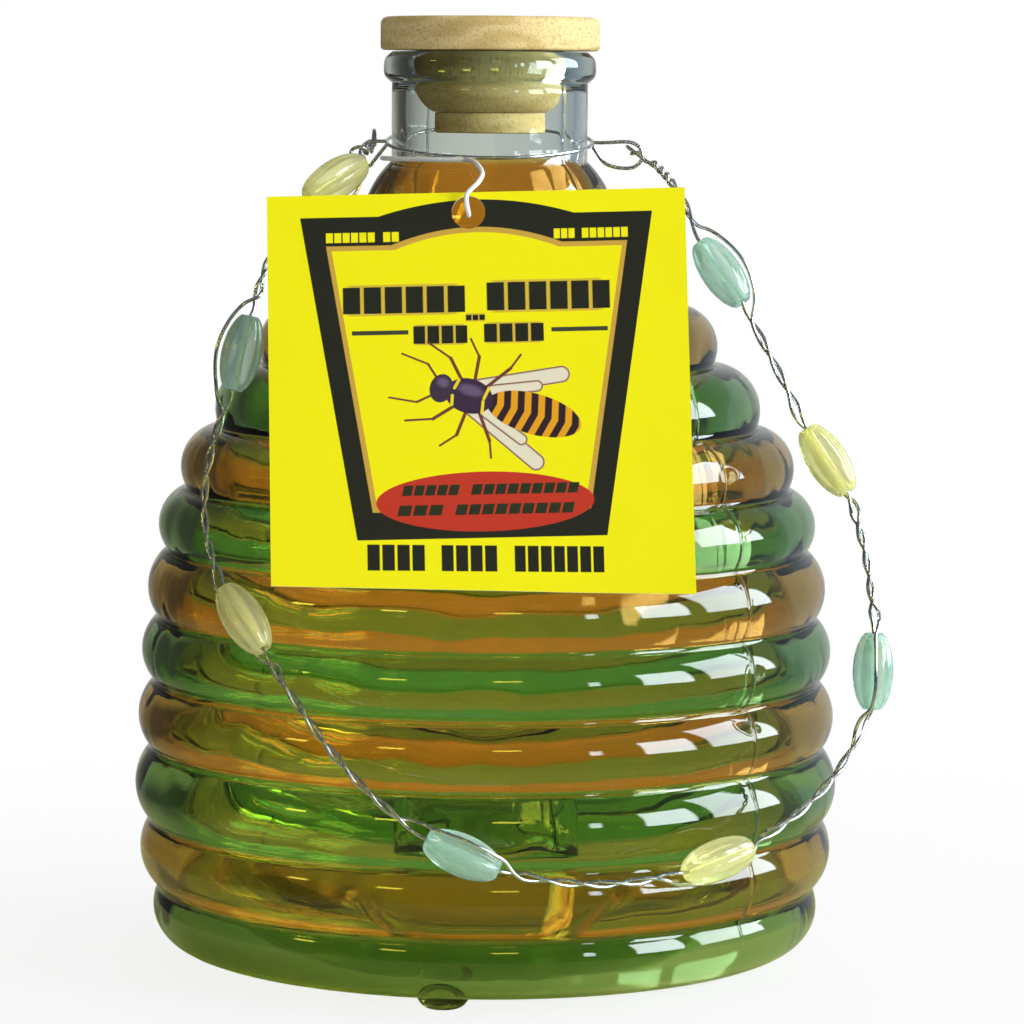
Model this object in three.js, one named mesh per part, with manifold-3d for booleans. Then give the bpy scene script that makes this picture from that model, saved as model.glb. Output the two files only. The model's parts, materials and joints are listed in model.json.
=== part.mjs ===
// Hanging glass wasp trap: a beehive-shaped mould-blown jar with an entry funnel in its base, a turned
// wooden stopper, a beaded handle of two twisted wires hooked on a neck wire, a card tag on a string and
// a lure packet lying in the trough round the funnel.
// Millimetres, +Z up. The origin is the middle of the stopper's flat top, on the jar's axis.
// The front of the trap faces -Y.
import * as THREE from "three";
import { mergeVertices } from "three/addons/utils/BufferGeometryUtils.js";
import Module from "manifold-3d";

const wasm = await Module();
wasm.setup();

// ---------------------------------------------------------------- driving dimensions
const GAP = 0.3; // least air gap between neighbouring pieces
const UP = new THREE.Vector3(0, 0, 1);

// stopper: cap, plug and tip, glued in a stack
const CAP_R = 23.1;
const CAP_H = 7.0;
const CAP_EDGE = 1.4;
const PLUG_R = 16.0;
const PLUG_BOTTOM_R = 11.9;
const PLUG_STRAIGHT = 6.4;
const PLUG_H = 12.9;
const PLUG_RISE = 1.1; // rounding of the plug's tapered part
const TIP_R = 11.6;
const TIP_H = 4.3;
const WOOD_CHAMFER = 0.45;
const GLUE_GAP = 0.1;
const STOPPER_SEGMENTS = 32;

// jar: radii and heights of the mouth, then the grooves between the stacked rings
const JAR_SEGMENTS = 36;
const WALL = 4.4; // side wall at the grooves
const FLOOR_T = 2.6; // base and funnel
const LIP_TOP = -CAP_H - GAP;
const LIP_TOP_R = 20.6;
const LIP_R = 22.4;
const LIP_MIDDLE = -10.4;
const LIP_TOP_RISE = 0.6; // how far the lip's upper and lower faces are rounded
const LIP_FOOT_RISE = 0.7;
const MOUTH_CHAMFER = 0.8;
const LIP_FOOT = -13.8;
const NECK_R = 20.7;
const NECK_BORE_R = 17.8;
const LIP_BORE_R = 17.2;
const NECK_FOOT = -30.2;
// each groove is [radius, height]; each ring bulges by its own height between two grooves
const GROOVES = [
  [NECK_R, NECK_FOOT], [27.4, -46.7], [39.4, -60.2], [47.9, -72.8], [57.2, -86.1], [64.0, -99.2],
  [68.0, -112.2], [70.0, -126.5], [70.7, -140.0], [71.5, -154.2], [71.7, -169.7], [69.7, -183.9],
];
const BULGES = [1.9, 4.3, 4.2, 4.3, 4.0, 3.6, 3.0, 3.0, 3.0, 3.2, 3.0];
const OUTER_STEPS = 3; // flats on each ring, outside
const INNER_STEPS = 2; // flats on each ring, inside
const HEEL_STEPS = 6;
const FUNNEL_STEPS = 4;
const INNER_BULGE = 0.5; // share of each ring's bulge that the inner surface follows
// the lowest ring rolls under into the base
const HEEL_R = 8.5;
const HEEL_CENTRE = [62.5, -188.4];
const BASE_Z = HEEL_CENTRE[1] - HEEL_R;
const FLOOR_Z = BASE_Z + FLOOR_T;
const TROUGH_R = 60; // where the floor turns up into the wall, inside
const HEEL_INNER = [65.6, -190.8];
const BASE_FLAT_R = 50;
const BASE_ARCH = 1.6; // how far the base arches up towards the funnel
const FUNNEL_FOOT_R = 29;
const FUNNEL_THROAT_R = 17.2;
const FUNNEL_TOP = -170.5;
const FUNNEL_FLARE = 3.4; // how far the funnel's curved side stands off a straight cone
const FOOT_COUNT = 3;
const FOOT_CIRCLE_R = 57;
const FOOT_R = 5.2;
const FOOT_PAD_R = 3.0;
const FOOT_SEGMENTS = 12;
const FOOT_ROOT = 1.3; // how far each foot reaches up into the base
const FOOT_BOTTOM = -200;
const FIRST_FOOT_ANGLE = THREE.MathUtils.degToRad(-98);

// neck wire: a ring round the neck with an eye on each side; the eyes' upper sides lie on the handle's
// hinge line
const HINGE_Z = -26.2;
const NECK_WIRE_R = 0.4;
const NECK_RING_R = 21.7;
const NECK_RING_TILT = THREE.MathUtils.degToRad(8);
const NECK_WIRE_SIDES = 6;
const EYE_DROP = 5.2; // height of each eye's loop
const EYE_ROOT = 2.4; // how far from the ring the eye's two sides part
const EYE_STEP = 1.3;
const RIGHT_EYE_TIP = 33.4;
const LEFT_EYE_TIP = -28.4;

// handle: two strands twisted together, threaded through eight beads
const STRAND_R = 0.375;
const STRAND_SIDES = 5;
const TWIST_R = 0.55; // distance from the handle's centreline to each strand
const TWIST_PITCH = 13;
const COIL_PITCH = 5.4;
const STRAND_STEP = 2.5;
const COIL_STEP = 0.75;
const LEFT_COIL = 6;
const RIGHT_COIL = 15;
const HOOK_R = 2.3;
const HOOK_START = 35; // degrees round the hinge line from the way the handle leaves it
const HOOK_SWEEP = 290;
const HOOK_POINTS = 8;
const HOOK_STEPS = 20;
const EASE = 0.36; // share of a span that each end's direction reaches into it
const BEAD_LENGTH = 15.5;
const BEAD_R = 4.25;
const BEAD_END_R = 1.7;
const BEAD_BORE_R = 1.15;
const BEAD_SEGMENTS = 12;
const BEAD_ROUNDING = 0.985; // 1 would round the barrel's side right down to its end's radius
const BOW_R = 5.2; // how far the free strand bows out round a bead
const BOW_REACH = 14; // the bow ends this far from the bead's middle
const BOW_FULLNESS = 1.2; // 1 is a plain cosine bow, more is slimmer
const BORE_EASE = 3.4; // the threaded strand runs straight until this far outside the bead
const BEAD_STILL = BEAD_LENGTH / 2 + 1.3; // the pair doesn't turn this near a bead's middle
const BEAD_GREEN = 0x9cc7a4;
const BEAD_YELLOW = 0xd9d98a;
// stations along the handle from the left eye to the right one; bow is the free strand's angle from the
// outward direction, in degrees
const STATIONS = [
  { at: [-24.6, -2.6, -26.9], along: [-0.6, -0.75, -0.3] },
  { at: [-31.9, -15.4, -34.1], along: [-0.72, -0.5, -0.46], bead: "bead_1", colour: BEAD_YELLOW, bow: 180 },
  { at: [-50, -37.5, -69], along: [-0.22, -0.13, -0.97], bead: "bead_2", colour: BEAD_GREEN, bow: 20 },
  { at: [-57, -45.5, -98.5], along: [0.02, -0.36, -0.93] },
  { at: [-48, -61.5, -120.5], along: [0.52, -0.4, -0.76], bead: "bead_3", colour: BEAD_YELLOW, bow: 105 },
  { at: [-4, -80.5, -164.5], along: [0.91, 0.02, -0.4], bead: "bead_4", colour: BEAD_GREEN, bow: -80 },
  { at: [47, -64.5, -168], along: [0.86, 0.45, 0.26], bead: "bead_5", colour: BEAD_YELLOW, bow: 75 },
  { at: [79, -44, -132.5], along: [0.02, 0.05, 1], bead: "bead_6", colour: BEAD_GREEN, bow: -60 },
  { at: [69.5, -38.5, -90], along: [-0.54, 0.18, 0.82], bead: "bead_7", colour: BEAD_YELLOW, bow: 120 },
  { at: [48, -27.5, -52.3], along: [-0.56, 0.28, 0.78], bead: "bead_8", colour: BEAD_GREEN, bow: 10 },
  { at: [29, -2.6, -27.6], along: [-0.85, 0.45, 0.3] },
];

// tag: a square card leaning on the rings, hung from the string at the hole near its top edge
const TAG_W = 83.4;
const TAG_H = 80.5;
const TAG_SKEW = 1.8; // the bottom edge is cut askew: its right end hangs lower, its left end higher
const TAG_T = 0.6;
const TAG_CORNER = 1;
const TAG_HOLE_R = 3.3;
const TAG_HOLE_DOWN = 4.1; // hole centre below the top edge
const TAG_HOLE_ASIDE = -1.5; // hole centre from the card's middle line
const TAG_HOLE_AT = [-3.8, -52.6, -39.7];
const TAG_LEAN = THREE.MathUtils.degToRad(-15.4);
const TAG_ROLL = THREE.MathUtils.degToRad(-1.65);
const STRING_R = 0.5;
const STRING_SIDES = 6;
const STRING_LEVEL = -29.7; // height of the string where it lies round the neck
const STRING_START = -170; // degrees round the neck, at the knot on the left eye
const STRING_END = -104; // where it leaves the neck
const STRING_CIRCLE_R = NECK_R + 2.2;
const STRING_ROUND_STEP = 3;
const STRING_DROP_STEP = 1.5;

// lure packet lying in the trough
const PACKET_SIZE = [32, 19];
const PACKET_T = 5;
const PACKET_EDGE = 2;
const PACKET_EDGE_T = 1;
const PACKET_CIRCLE_R = 45;
const PACKET_ANGLE = THREE.MathUtils.degToRad(150);

// ---------------------------------------------------------------- helpers
const vec = (p) => new THREE.Vector3(...p);

// Keep only positions, merge shared vertices and return a solid.
function solid(geometry) {
  const g = geometry.clone();
  g.deleteAttribute("normal");
  g.deleteAttribute("uv");
  const merged = mergeVertices(g, 1e-4);
  const vertProperties = new Float32Array(merged.attributes.position.array);
  const triVerts = new Uint32Array(merged.index.array);
  return new wasm.Manifold(new wasm.Mesh({ numProp: 3, vertProperties, triVerts }));
}

function geometryOf(manifold) {
  const mesh = manifold.getMesh();
  const geometry = new THREE.BufferGeometry();
  geometry.setAttribute("position", new THREE.BufferAttribute(new Float32Array(mesh.vertProperties), 3));
  geometry.setIndex(new THREE.BufferAttribute(new Uint32Array(mesh.triVerts), 1));
  geometry.computeVertexNormals();
  return geometry;
}

function mesh(name, geometry, color, roughness, extra = {}) {
  const material = new THREE.MeshStandardMaterial({ color, roughness, metalness: 0, ...extra });
  const m = new THREE.Mesh(geometry, material);
  m.name = name;
  return m;
}

// Turn a [radius, height] outline about the Z axis. The outline runs clockwise seen with radius to the
// right and height up, or from the axis to the axis.
function turned(outline, segments) {
  const points = outline.map(([r, z]) => new THREE.Vector2(r, z));
  return new THREE.LatheGeometry(points.reverse(), segments).rotateX(Math.PI / 2);
}

// Points of a circular arc from a to b, standing out from the straight line by rise; a is left out.
function arc(a, b, rise, steps) {
  const [dx, dy] = [b[0] - a[0], b[1] - a[1]];
  const chord = Math.hypot(dx, dy);
  const radius = (chord * chord / 4 + rise * rise) / (2 * rise);
  const out = [-dy / chord, dx / chord];
  const centre = [(a[0] + b[0]) / 2 - out[0] * (radius - rise), (a[1] + b[1]) / 2 - out[1] * (radius - rise)];
  const half = Math.asin(chord / 2 / radius);
  return Array.from({ length: steps }, (_, i) => {
    const t = -half + (2 * half * (i + 1)) / steps;
    const along = radius * Math.sin(t);
    const off = radius * Math.cos(t);
    return [
      centre[0] + off * out[0] + along * (dx / chord),
      centre[1] + off * out[1] + along * (dy / chord),
    ];
  });
}

// A curve through given points that is sampled exactly at those points.
class PointCurve extends THREE.Curve {
  constructor(points) {
    super();
    this.points = points;
  }

  getUtoTmapping(u) {
    return u;
  }

  getPoint(t, target = new THREE.Vector3()) {
    const last = this.points.length - 1;
    const at = Math.min(Math.max(t, 0), 1) * last;
    const i = Math.min(Math.floor(at), last - 1);
    return target.lerpVectors(this.points[i], this.points[i + 1], at - i);
  }
}

function circle(radius, sides) {
  const corners = Array.from({ length: sides }, (_, i) => {
    const a = (2 * Math.PI * i) / sides;
    return new THREE.Vector2(radius * Math.cos(a), radius * Math.sin(a));
  });
  return new THREE.Shape(corners);
}

function tube(points, radius, sides) {
  const extrudePath = new PointCurve(points);
  return new THREE.ExtrudeGeometry(circle(radius, sides), { steps: points.length - 1, extrudePath });
}

function smoothPath(points, step) {
  const curve = new THREE.CatmullRomCurve3(points.map(vec), false, "centripetal");
  return curve.getSpacedPoints(Math.round(curve.getLength() / step));
}

// ---------------------------------------------------------------- jar
function jarOutline() {
  const outside = [[LIP_TOP_R, LIP_TOP], ...arc([LIP_TOP_R, LIP_TOP], [LIP_R, LIP_MIDDLE], LIP_TOP_RISE, 2)];
  outside.push(...arc([LIP_R, LIP_MIDDLE], [NECK_R, LIP_FOOT], LIP_FOOT_RISE, 2));
  outside.push([...GROOVES[0]]);
  BULGES.forEach((rise, i) => outside.push(...arc(GROOVES[i], GROOVES[i + 1], rise, OUTER_STEPS)));
  const heelTop = GROOVES[GROOVES.length - 1];
  const heelStart = Math.atan2(heelTop[1] - HEEL_CENTRE[1], heelTop[0] - HEEL_CENTRE[0]);
  for (let i = 1; i <= HEEL_STEPS; i++) {
    const a = heelStart + ((-Math.PI / 2 - heelStart) * i) / HEEL_STEPS;
    outside.push([HEEL_CENTRE[0] + HEEL_R * Math.cos(a), HEEL_CENTRE[1] + HEEL_R * Math.sin(a)]);
  }
  // base, then up the funnel's air side, over its rim and down its chamber side to the floor
  const rimDrop = FLOOR_T / 2;
  const throat = [FUNNEL_THROAT_R, FUNNEL_TOP - rimDrop];
  const foot = [FUNNEL_FOOT_R, BASE_Z + BASE_ARCH];
  const base = [[BASE_FLAT_R, BASE_Z], foot, ...arc(foot, throat, FUNNEL_FLARE, FUNNEL_STEPS)];
  const rim = [[FUNNEL_THROAT_R + rimDrop, FUNNEL_TOP], [FUNNEL_THROAT_R + FLOOR_T, FUNNEL_TOP - rimDrop]];
  const floorStart = [FUNNEL_FOOT_R + FLOOR_T, FLOOR_Z + BASE_ARCH / 2];
  const chamber = [...rim, ...arc(rim[1], floorStart, -FUNNEL_FLARE, FUNNEL_STEPS), [BASE_FLAT_R, FLOOR_Z]];
  // up the inside
  const inner = GROOVES.map(([r, z]) => [r - WALL, z]);
  inner[0] = [NECK_BORE_R, NECK_FOOT];
  const inside = [[TROUGH_R, FLOOR_Z], HEEL_INNER, inner[inner.length - 1]];
  for (let i = BULGES.length - 1; i >= 0; i--) {
    inside.push(...arc(inner[i + 1], inner[i], -BULGES[i] * INNER_BULGE, INNER_STEPS));
  }
  inside.push([NECK_BORE_R, LIP_FOOT], [LIP_BORE_R, LIP_MIDDLE], [LIP_BORE_R, LIP_TOP - MOUTH_CHAMFER]);
  inside.push([LIP_BORE_R + MOUTH_CHAMFER, LIP_TOP], [LIP_TOP_R, LIP_TOP]);
  return [...outside, ...base, ...chamber, ...inside];
}

function jar() {
  let body = solid(turned(jarOutline(), JAR_SEGMENTS));
  const depth = BASE_Z - FOOT_BOTTOM;
  const footOutline = [
    [0, BASE_Z + FOOT_ROOT],
    [FOOT_R, BASE_Z + FOOT_ROOT],
    [FOOT_R, BASE_Z - depth / 4],
    [(FOOT_R * 3 + FOOT_PAD_R) / 4, BASE_Z - (depth * 2) / 3],
    [FOOT_PAD_R, FOOT_BOTTOM],
    [0, FOOT_BOTTOM],
  ];
  for (let i = 0; i < FOOT_COUNT; i++) {
    const a = FIRST_FOOT_ANGLE + (2 * Math.PI * i) / FOOT_COUNT;
    const foot = turned(footOutline, FOOT_SEGMENTS);
    foot.translate(FOOT_CIRCLE_R * Math.cos(a), FOOT_CIRCLE_R * Math.sin(a), 0);
    body = body.add(solid(foot));
  }
  return mesh("glass_jar", geometryOf(body), 0x6f8f2e, 0.05, { transparent: true, opacity: 0.55 });
}

// ---------------------------------------------------------------- stopper
function stopper() {
  const wood = 0xd9bd8b;
  const cap = turned([
    [0, 0], [CAP_R - CAP_EDGE, 0], [CAP_R - 0.4 * CAP_EDGE, -0.4 * CAP_EDGE], [CAP_R, -CAP_EDGE],
    [CAP_R, -CAP_H + WOOD_CHAMFER], [CAP_R - WOOD_CHAMFER, -CAP_H], [0, -CAP_H],
  ], STOPPER_SEGMENTS);
  const top = -CAP_H;
  const plug = turned([
    [0, top - GLUE_GAP], [PLUG_R, top - GLUE_GAP], [PLUG_R, top - PLUG_STRAIGHT],
    ...arc([PLUG_R, top - PLUG_STRAIGHT], [PLUG_BOTTOM_R, top - PLUG_H], PLUG_RISE, 4), [0, top - PLUG_H],
  ], STOPPER_SEGMENTS);
  const tipTop = top - PLUG_H - GLUE_GAP;
  const tipEnd = tipTop - TIP_H;
  const tip = turned([
    [0, tipTop], [TIP_R, tipTop], [TIP_R, tipEnd + WOOD_CHAMFER], [TIP_R - WOOD_CHAMFER, tipEnd], [0, tipEnd],
  ], STOPPER_SEGMENTS);
  const stack = new THREE.Group();
  stack.add(mesh("stopper_cap", cap, wood, 0.7));
  stack.add(mesh("stopper_plug", plug, wood, 0.75));
  stack.add(mesh("stopper_tip", tip, wood, 0.75));
  return stack;
}

// ---------------------------------------------------------------- neck wire
// One eye: out along the hinge line, round its tip and back underneath to the neck ring.
function eye(tip) {
  const side = Math.sign(tip);
  const bend = EYE_DROP / 2;
  const start = side * (NECK_RING_R + 0.1);
  const middle = side * (NECK_RING_R + EYE_ROOT);
  return smoothPath([
    [start, 0, HINGE_Z],
    [middle, 0, HINGE_Z],
    [tip - side * bend, 0, HINGE_Z],
    [tip - side * 0.75, 0, HINGE_Z - 0.29 * EYE_DROP],
    [tip - side * 0.75, 0, HINGE_Z - 0.71 * EYE_DROP],
    [tip - side * bend, 0, HINGE_Z - EYE_DROP],
    [middle + side * 0.6, 0, HINGE_Z - 0.86 * EYE_DROP],
    [start, 0, HINGE_Z - 0.16 * EYE_DROP],
  ], EYE_STEP);
}

function neckWire() {
  const ring = new THREE.TorusGeometry(NECK_RING_R, NECK_WIRE_R, NECK_WIRE_SIDES, JAR_SEGMENTS);
  ring.rotateX(NECK_RING_TILT).translate(0, 0, HINGE_Z);
  const wire = solid(ring)
    .add(solid(tube(eye(RIGHT_EYE_TIP), NECK_WIRE_R, NECK_WIRE_SIDES)))
    .add(solid(tube(eye(LEFT_EYE_TIP), NECK_WIRE_R, NECK_WIRE_SIDES)));
  return mesh("neck_wire", geometryOf(wire), 0xb9bcc0, 0.3, { metalness: 1 });
}

// ---------------------------------------------------------------- handle
const smoothstep = (a, b, x) => {
  const t = Math.min(Math.max((x - a) / (b - a), 0), 1);
  return t * t * (3 - 2 * t);
};

// The centreline is a chain of Bezier spans between the stations.
function centreline() {
  const path = new THREE.CurvePath();
  for (let i = 0; i + 1 < STATIONS.length; i++) {
    const [a, b] = [vec(STATIONS[i].at), vec(STATIONS[i + 1].at)];
    const reach = EASE * a.distanceTo(b);
    const leave = a.clone().addScaledVector(vec(STATIONS[i].along).normalize(), reach);
    const arrive = b.clone().addScaledVector(vec(STATIONS[i + 1].along).normalize(), -reach);
    path.add(new THREE.CubicBezierCurve3(a, leave, arrive, b));
  }
  return path;
}

// Two directions square to the handle: away from the jar's middle, and sideways.
const JAR_MIDDLE = new THREE.Vector3(0, 0, -100);
function frameAt(point, tangent) {
  const out = point.clone().sub(JAR_MIDDLE);
  out.addScaledVector(tangent, -out.dot(tangent)).normalize();
  return { out, aside: tangent.clone().cross(out) };
}

function handle() {
  const path = centreline();
  const lengths = path.getCurveLengths();
  const total = path.getLength();
  const beads = [];
  STATIONS.forEach((station, i) => {
    if (station.bead) beads.push({ ...station, s: lengths[i - 1] });
  });

  // Twist: the pair keeps still over each bead and at both ends, and turns between them.
  const endAngle = (s) => {
    const u = s / total;
    const { out, aside } = frameAt(path.getPointAt(u), path.getTangentAt(u));
    return Math.atan2(aside.x, out.x);
  };
  const knots = [{ s: 0, angle: endAngle(0) }];
  const turnTo = (s, angle, pitch) => {
    const from = knots[knots.length - 1];
    const turns = Math.round((s - from.s) / pitch - (angle - from.angle) / (2 * Math.PI));
    knots.push({ s, angle: angle + 2 * Math.PI * turns });
  };
  beads.forEach((bead, i) => {
    const angle = THREE.MathUtils.degToRad(bead.bow);
    turnTo(bead.s - BEAD_STILL, angle, i === 0 ? COIL_PITCH : TWIST_PITCH);
    knots.push({ s: bead.s + BEAD_STILL, angle: knots[knots.length - 1].angle });
  });
  turnTo(total - RIGHT_COIL, 0, TWIST_PITCH);
  turnTo(total, endAngle(total), COIL_PITCH);
  const angleAt = (s) => {
    const i = Math.min(Math.max(knots.findIndex((k) => k.s > s), 1), knots.length - 1);
    const [a, b] = [knots[i - 1], knots[i]];
    return THREE.MathUtils.mapLinear(Math.min(s, b.s), a.s, b.s, a.angle, b.angle);
  };

  const strandPoint = (s, threaded) => {
    const u = s / total;
    const point = path.getPointAt(u);
    const { out, aside } = frameAt(point, path.getTangentAt(u));
    const bead = beads.reduce((best, b) => (Math.abs(b.s - s) < Math.abs(best.s - s) ? b : best));
    const away = Math.abs(bead.s - s);
    const fade = Math.cos((Math.PI / 2) * Math.min(away / BOW_REACH, 1)) ** BOW_FULLNESS;
    const bowed = TWIST_R + (BOW_R - TWIST_R) * fade;
    const offset = threaded ? -TWIST_R : bowed;
    const angle = angleAt(s);
    point.addScaledVector(out, offset * Math.cos(angle));
    point.addScaledVector(aside, offset * Math.sin(angle));
    if (!threaded) return point;
    const inBore = vec(bead.at).addScaledVector(vec(bead.along).normalize(), s - bead.s);
    return point.lerp(inBore, 1 - smoothstep(BEAD_LENGTH / 2, BEAD_LENGTH / 2 + BORE_EASE, away));
  };

  const steps = [];
  const fineFrom = total - RIGHT_COIL - STRAND_STEP * 2;
  for (let s = 0; s < total; s += s < LEFT_COIL || s > fineFrom ? COIL_STEP : STRAND_STEP) {
    steps.push(s);
  }
  steps.push(total);

  // A hook: once round the hinge line, from beside the other strand's end to this strand's end.
  const hook = (station, end, other) => {
    const [x, y, z] = station.at;
    const leaving = Math.atan2(-y, HINGE_Z - z);
    const points = [other.clone()];
    for (let i = 0; i <= HOOK_POINTS; i++) {
      const share = i / HOOK_POINTS;
      const a = leaving + THREE.MathUtils.degToRad(HOOK_START + HOOK_SWEEP * share);
      const across = THREE.MathUtils.lerp(other.x, end.x, share);
      points.push(new THREE.Vector3(across, -HOOK_R * Math.sin(a), HINGE_Z - HOOK_R * Math.cos(a)));
    }
    points.push(end.clone());
    return new THREE.CatmullRomCurve3(points, false, "centripetal").getSpacedPoints(HOOK_STEPS).slice(0, -1);
  };

  const a = steps.map((s) => strandPoint(s, true));
  const b = steps.map((s) => strandPoint(s, false));
  const last = steps.length - 1;
  const hookA = hook(STATIONS[0], a[0], b[0]);
  const hookB = hook(STATIONS[STATIONS.length - 1], b[last], a[last]).reverse();
  const wireA = [...hookA, ...a.slice(0, -2)];
  const wireB = [...b.slice(2), ...hookB];
  const group = new THREE.Group();
  const steel = { metalness: 1 };
  group.add(mesh("handle_wire_a", tube(wireA, STRAND_R, STRAND_SIDES), 0xbfc2c6, 0.3, steel));
  group.add(mesh("handle_wire_b", tube(wireB, STRAND_R, STRAND_SIDES), 0xbfc2c6, 0.3, steel));
  beads.forEach((bead) => group.add(beadMesh(bead)));
  return group;
}

function beadMesh({ bead, at, along, colour }) {
  const half = BEAD_LENGTH / 2;
  const rounded = Array.from({ length: 7 }, (_, i) => {
    const t = -1 + i / 3;
    return [BEAD_END_R + (BEAD_R - BEAD_END_R) * Math.sqrt(1 - BEAD_ROUNDING * t * t), -half * t];
  });
  const outline = [[BEAD_BORE_R, half], ...rounded, [BEAD_BORE_R, -half], [BEAD_BORE_R, half]];
  const m = mesh(bead, turned(outline, BEAD_SEGMENTS), colour, 0.15, { transparent: true, opacity: 0.8 });
  m.position.set(...at);
  m.quaternion.setFromUnitVectors(UP, vec(along).normalize());
  return m;
}

// ---------------------------------------------------------------- tag and its string
function tag() {
  const left = -TAG_W / 2 - TAG_HOLE_ASIDE;
  const right = left + TAG_W;
  const top = TAG_HOLE_DOWN;
  const bottom = top - TAG_H;
  const c = TAG_CORNER;
  const outline = new THREE.Shape();
  const low = bottom - TAG_SKEW;
  const high = bottom + TAG_SKEW;
  outline.moveTo(left + c, high);
  outline.absarc(right - c, low + c, c, -Math.PI / 2, 0, false);
  outline.absarc(right - c, top - c, c, 0, Math.PI / 2, false);
  outline.absarc(left + c, top - c, c, Math.PI / 2, Math.PI, false);
  outline.absarc(left + c, high + c, c, Math.PI, 1.5 * Math.PI, false);
  const hole = new THREE.Path();
  hole.absarc(0, 0, TAG_HOLE_R, 0, 2 * Math.PI, true);
  outline.holes.push(hole);
  const card = new THREE.ExtrudeGeometry(outline, { depth: TAG_T, bevelEnabled: false, curveSegments: 4 });
  card.translate(0, 0, -TAG_T / 2).rotateX(Math.PI / 2);
  const m = mesh("hang_tag", card, 0xeedd00, 0.5);
  m.position.set(...TAG_HOLE_AT);
  m.rotation.set(TAG_LEAN, TAG_ROLL, 0, "ZYX");
  return m;
}

function strings() {
  const nylon = 0xf2f2ee;
  // round the neck, from the knot on the left eye to the front
  const onNeck = (degrees) => {
    const a = THREE.MathUtils.degToRad(degrees);
    return new THREE.Vector3(STRING_CIRCLE_R * Math.cos(a), STRING_CIRCLE_R * Math.sin(a), STRING_LEVEL);
  };
  const round = [];
  for (let i = 0; i <= 6; i++) {
    round.push(onNeck(THREE.MathUtils.lerp(STRING_START, STRING_END, i / 6)).toArray());
  }
  const neckPart = tube(smoothPath(round, STRING_ROUND_STEP), STRING_R, STRING_SIDES);
  // on from there, forward over the card's top edge and into the hole from the front
  const leaving = onNeck(STRING_END + 2);
  const hole = vec(TAG_HOLE_AT);
  const card = new THREE.Euler(TAG_LEAN, TAG_ROLL, 0, "ZYX");
  const onCard = (x, y, z) => new THREE.Vector3(x, y, z).applyEuler(card).add(hole).toArray();
  const forward = (share, x, rise) => [x, THREE.MathUtils.lerp(leaving.y, hole.y, share), leaving.z + rise];
  const drop = [
    leaving.toArray(),
    forward(0.17, leaving.x + 1, 0),
    forward(0.5, leaving.x + 2.4, -0.5),
    forward(0.88, leaving.x + 3.6, -2.6),
    onCard(1.8, -1.9, 5.4),
    onCard(-0.3, -1.9, 3.2),
    onCard(-0.2, -1.5, 0.9),
    onCard(0, 0.2, 0),
    onCard(0, 1.7, -0.2),
  ];
  const dropPart = tube(smoothPath(drop, STRING_DROP_STEP), STRING_R, STRING_SIDES);
  const group = new THREE.Group();
  group.add(mesh("tag_string", neckPart, nylon, 0.5));
  group.add(mesh("tag_string_drop", dropPart, nylon, 0.5));
  return group;
}

// ---------------------------------------------------------------- lure packet
function lurePacket() {
  const [w, d] = PACKET_SIZE;
  const edge = PACKET_EDGE;
  const outline = new THREE.Shape();
  outline.moveTo(-w / 2 + edge, -d / 2 + edge);
  outline.lineTo(w / 2 - edge, -d / 2 + edge);
  outline.lineTo(w / 2 - edge, d / 2 - edge);
  outline.lineTo(-w / 2 + edge, d / 2 - edge);
  const pillow = new THREE.ExtrudeGeometry(outline, {
    depth: PACKET_EDGE_T, bevelThickness: (PACKET_T - PACKET_EDGE_T) / 2, bevelSize: edge, bevelSegments: 2,
  });
  const m = mesh("lure_packet", pillow, 0xcfd3cf, 0.6);
  m.position.set(
    PACKET_CIRCLE_R * Math.cos(PACKET_ANGLE),
    PACKET_CIRCLE_R * Math.sin(PACKET_ANGLE),
    FLOOR_Z + BASE_ARCH / 2 + (PACKET_T - PACKET_EDGE_T) / 2 + GAP,
  );
  m.rotation.z = PACKET_ANGLE + Math.PI / 2;
  return m;
}

// ---------------------------------------------------------------- assembly
const group = new THREE.Group();
group.add(jar(), stopper(), neckWire(), handle(), tag(), strings(), lurePacket());

export default group;
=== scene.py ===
"""Looks for the hanging glass wasp trap: a banded beehive jar, a wooden stopper, a beaded wire handle,
a printed card tag on a nylon string and the lure sachet inside. Lengths are in millimetres until a mesh
is made; the CAD frame gives the places."""
import json
import math

import bpy
import numpy as np
from mathutils import Matrix, Vector
from mathutils.bvhtree import BVHTree


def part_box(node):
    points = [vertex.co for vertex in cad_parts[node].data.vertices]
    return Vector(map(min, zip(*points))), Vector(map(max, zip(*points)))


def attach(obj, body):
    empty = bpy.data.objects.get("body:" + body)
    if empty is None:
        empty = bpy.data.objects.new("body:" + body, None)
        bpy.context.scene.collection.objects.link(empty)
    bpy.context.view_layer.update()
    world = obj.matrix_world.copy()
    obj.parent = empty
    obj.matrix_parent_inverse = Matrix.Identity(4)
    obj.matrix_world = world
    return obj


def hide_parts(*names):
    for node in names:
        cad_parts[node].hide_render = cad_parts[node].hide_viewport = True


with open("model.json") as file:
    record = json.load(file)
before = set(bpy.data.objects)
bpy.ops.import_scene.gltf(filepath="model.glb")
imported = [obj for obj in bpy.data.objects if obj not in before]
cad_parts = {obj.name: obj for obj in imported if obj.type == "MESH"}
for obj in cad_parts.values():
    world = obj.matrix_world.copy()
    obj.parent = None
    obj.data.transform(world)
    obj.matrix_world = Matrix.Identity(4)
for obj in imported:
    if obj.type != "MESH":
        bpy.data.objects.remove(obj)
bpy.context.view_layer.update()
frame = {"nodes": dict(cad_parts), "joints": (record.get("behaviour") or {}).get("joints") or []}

MM = 0.001
TURN = 2 * math.pi

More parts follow.
